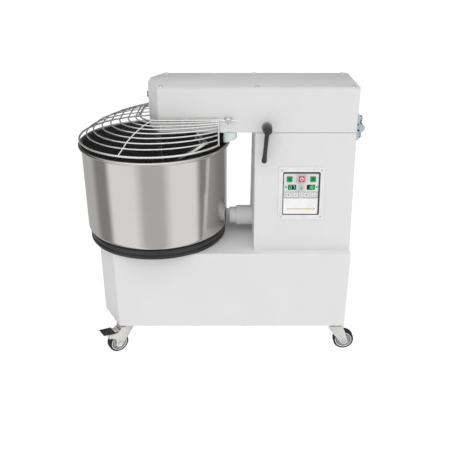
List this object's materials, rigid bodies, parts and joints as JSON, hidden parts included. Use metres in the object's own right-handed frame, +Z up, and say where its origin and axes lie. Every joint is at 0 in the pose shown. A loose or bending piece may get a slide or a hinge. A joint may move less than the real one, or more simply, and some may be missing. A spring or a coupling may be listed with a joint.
{
  "type": "spiral dough mixer",
  "caption": "Tilting-head spiral dough mixer: a steel bowl turns under a hinged head that carries a spiral hook, a breaker bar and a wire guard, on a boxed base with swivel casters.",
  "frame": {"origin": "centre of the bounding box in plan, on the floor under the casters", "axes": "+Z up, +X from the bowl towards the column, the control panel faces -Y"},
  "size_m": [0.8834, 0.47, 0.8676],
  "materials": {
    "white_paint": "white powder coat, fine orange peel",
    "stainless_bowl": "spun stainless steel, bright brushed",
    "stainless_wire": "polished stainless wire",
    "stainless_tool": "polished stainless bar",
    "zinc": "bright zinc plate",
    "steel_machined": "machined steel",
    "fork_zinc": "zinc-plated pressed steel",
    "black_nylon": "black moulded nylon",
    "black_grip": "black lever moulding",
    "white_nylon": "natural nylon",
    "tyre": "black rubber tyre on a grey hub",
    "belt_rubber": "belt rubber",
    "motor_cast": "painted cast housing",
    "panel_frame": "light moulded frame",
    "panel_foil": "printed foil on a plate",
    "display_glass": "dark display windows",
    "key_green": "green key",
    "key_red": "red key",
    "key_grey": "light grey key"
  },
  "bodies": {
    "base": {"base_casing": "white_paint", "base_floor_plate": "white_paint", "column_casing": "white_paint", "rear_cover": "white_paint", "casing_screws": "zinc", "cable_gland": "black_nylon", "hinge_lower_leaf": "zinc", "hinge_bolts_lower": "zinc", "panel_bezel": "panel_frame", "panel_plate": "panel_foil", "panel_indicators": "display_glass", "thrust_tube": "white_paint", "thrust_pad": "white_nylon", "bowl_bearing_housing": "motor_cast", "gearmotor": "motor_cast", "base_belt": "belt_rubber", "caster_plates": "fork_zinc", "caster_bolts": "zinc"},
    "bowl": {"bowl": "stainless_bowl", "bowl_ring": "black_nylon", "turntable": "steel_machined", "bowl_pulley": "steel_machined"},
    "head": {"head_casing": "white_paint", "head_cover": "white_paint", "head_cover_screws": "zinc", "hinge_upper_leaf": "zinc", "hinge_bolts_upper": "zinc", "tension_bolt": "zinc", "head_bearing_housings": "motor_cast", "head_belt": "belt_rubber", "breaker_bar": "stainless_tool", "lever_boss": "steel_machined", "guard_pivot_pins": "stainless_tool", "rim_pad_front": "white_nylon", "rim_pad_rear": "white_nylon"},
    "guard": {"guard": "stainless_wire"},
    "clamp": {"clamp_lever": "black_grip", "clamp_spindle": "steel_machined"},
    "drive": {"drive_shaft": "steel_machined"},
    "head_drive": {"head_drive_hub": "steel_machined"},
    "spiral": {"spiral_hook": "stainless_tool", "spiral_pulley": "steel_machined"},
    "key_start_bowl": {"key_start_bowl": "key_green"},
    "key_stop": {"key_stop": "key_red"},
    "key_start_spiral": {"key_start_spiral": "key_green"},
    "key_time_less_a": {"key_time_less_a": "key_grey"},
    "key_time_more_a": {"key_time_more_a": "key_grey"},
    "key_time_less_b": {"key_time_less_b": "key_grey"},
    "key_time_more_b": {"key_time_more_b": "key_grey"},
    "caster_nose_front": {"caster_fork_nose_front": "fork_zinc"},
    "wheel_nose_front": {"caster_wheel_nose_front": "tyre"},
    "brake_nose_front": {"brake_pedal_nose_front": "black_nylon"},
    "caster_nose_rear": {"caster_fork_nose_rear": "fork_zinc"},
    "wheel_nose_rear": {"caster_wheel_nose_rear": "tyre"},
    "brake_nose_rear": {"brake_pedal_nose_rear": "black_nylon"},
    "caster_column_front": {"caster_fork_column_front": "fork_zinc"},
    "wheel_column_front": {"caster_wheel_column_front": "tyre"},
    "caster_column_rear": {"caster_fork_column_rear": "fork_zinc"},
    "wheel_column_rear": {"caster_wheel_column_rear": "tyre"}
  },
  "joints": [
    {"name": "bowl_spin", "type": "hinge", "parent": "base", "child": "bowl", "pos_m": [-0.20675, 0, 0.4], "axis": [0, 0, 1], "continuous": true},
    {"name": "drive_spin", "type": "hinge", "parent": "base", "child": "drive", "pos_m": [0.22325, 0, 0.4], "axis": [0, 0, 1], "continuous": true},
    {"name": "head_tilt", "type": "hinge", "parent": "base", "child": "head", "pos_m": [0.41245, 0, 0.7418], "axis": [0, 1, 0], "range_deg": [0, 50]},
    {"name": "head_drive_spin", "type": "hinge", "parent": "head", "child": "head_drive", "pos_m": [0.22325, 0, 0.809], "axis": [0, 0, 1], "continuous": true},
    {"name": "spiral_spin", "type": "hinge", "parent": "head", "child": "spiral", "pos_m": [-0.07675, 0, 0.809], "axis": [0, 0, 1], "continuous": true},
    {"name": "guard_lift", "type": "hinge", "parent": "head", "child": "guard", "pos_m": [0.02305, 0, 0.771], "axis": [0, 1, 0], "range_deg": [0, 85]},
    {"name": "clamp_lever_turn", "type": "hinge", "parent": "head", "child": "clamp", "pos_m": [0.13575, 0, 0.748], "axis": [0, -1, 0], "range_deg": [0, 90]},
    {"name": "press_start_bowl", "type": "slide", "parent": "base", "child": "key_start_bowl", "axis": [0, 0.9916, -0.1296], "range_m": [0, 0.001], "stiffness_N_per_m": 600, "springref_m": -0.0015},
    {"name": "press_stop", "type": "slide", "parent": "base", "child": "key_stop", "axis": [0, 0.9916, -0.1296], "range_m": [0, 0.001], "stiffness_N_per_m": 600, "springref_m": -0.0015},
    {"name": "press_start_spiral", "type": "slide", "parent": "base", "child": "key_start_spiral", "axis": [0, 0.9916, -0.1296], "range_m": [0, 0.001], "stiffness_N_per_m": 600, "springref_m": -0.0015},
    {"name": "press_time_less_a", "type": "slide", "parent": "base", "child": "key_time_less_a", "axis": [0, 0.9916, -0.1296], "range_m": [0, 0.001], "stiffness_N_per_m": 600, "springref_m": -0.0015},
    {"name": "press_time_more_a", "type": "slide", "parent": "base", "child": "key_time_more_a", "axis": [0, 0.9916, -0.1296], "range_m": [0, 0.001], "stiffness_N_per_m": 600, "springref_m": -0.0015},
    {"name": "press_time_less_b", "type": "slide", "parent": "base", "child": "key_time_less_b", "axis": [0, 0.9916, -0.1296], "range_m": [0, 0.001], "stiffness_N_per_m": 600, "springref_m": -0.0015},
    {"name": "press_time_more_b", "type": "slide", "parent": "base", "child": "key_time_more_b", "axis": [0, 0.9916, -0.1296], "range_m": [0, 0.001], "stiffness_N_per_m": 600, "springref_m": -0.0015},
    {"name": "swivel_nose_front", "type": "hinge", "parent": "base", "child": "caster_nose_front", "pos_m": [-0.31675, -0.144, 0.091], "axis": [0, 0, 1], "continuous": true},
    {"name": "roll_nose_front", "type": "hinge", "parent": "caster_nose_front", "child": "wheel_nose_front", "pos_m": [-0.34328, -0.16189, 0.0335], "axis": [0.5592, -0.829, 0], "continuous": true},
    {"name": "brake_press_nose_front", "type": "hinge", "parent": "caster_nose_front", "child": "brake_nose_front", "pos_m": [-0.36483, -0.17643, 0.072], "axis": [0.5592, -0.829, 0], "range_deg": [0, 12], "stiffness_Nm_per_rad": 0.6},
    {"name": "swivel_nose_rear", "type": "hinge", "parent": "base", "child": "caster_nose_rear", "pos_m": [-0.31675, 0.144, 0.091], "axis": [0, 0, 1], "continuous": true},
    {"name": "roll_nose_rear", "type": "hinge", "parent": "caster_nose_rear", "child": "wheel_nose_rear", "pos_m": [-0.34126, 0.16457, 0.0335], "axis": [-0.6428, -0.766, 0], "continuous": true},
    {"name": "brake_press_nose_rear", "type": "hinge", "parent": "caster_nose_rear", "child": "brake_nose_rear", "pos_m": [-0.36118, 0.18128, 0.072], "axis": [-0.6428, -0.766, 0], "range_deg": [0, 12], "stiffness_Nm_per_rad": 0.6},
    {"name": "swivel_column_front", "type": "hinge", "parent": "base", "child": "caster_column_front", "pos_m": [0.37625, -0.144, 0.091], "axis": [0, 0, 1], "continuous": true},
    {"name": "roll_column_front", "type": "hinge", "parent": "caster_column_front", "child": "wheel_column_front", "pos_m": [0.40825, -0.144, 0.0335], "axis": [0, 1, 0], "continuous": true},
    {"name": "swivel_column_rear", "type": "hinge", "parent": "base", "child": "caster_column_rear", "pos_m": [0.37625, 0.144, 0.091], "axis": [0, 0, 1], "continuous": true},
    {"name": "roll_column_rear", "type": "hinge", "parent": "caster_column_rear", "child": "wheel_column_rear", "pos_m": [0.40246, 0.16235, 0.0335], "axis": [-0.5736, 0.8192, 0], "continuous": true}
  ],
  "couplings": [
    {"joint": "drive_spin", "follows": "bowl_spin", "ratio": 8},
    {"joint": "head_drive_spin", "follows": "bowl_spin", "ratio": 8},
    {"joint": "spiral_spin", "follows": "bowl_spin", "ratio": 8}
  ]
}
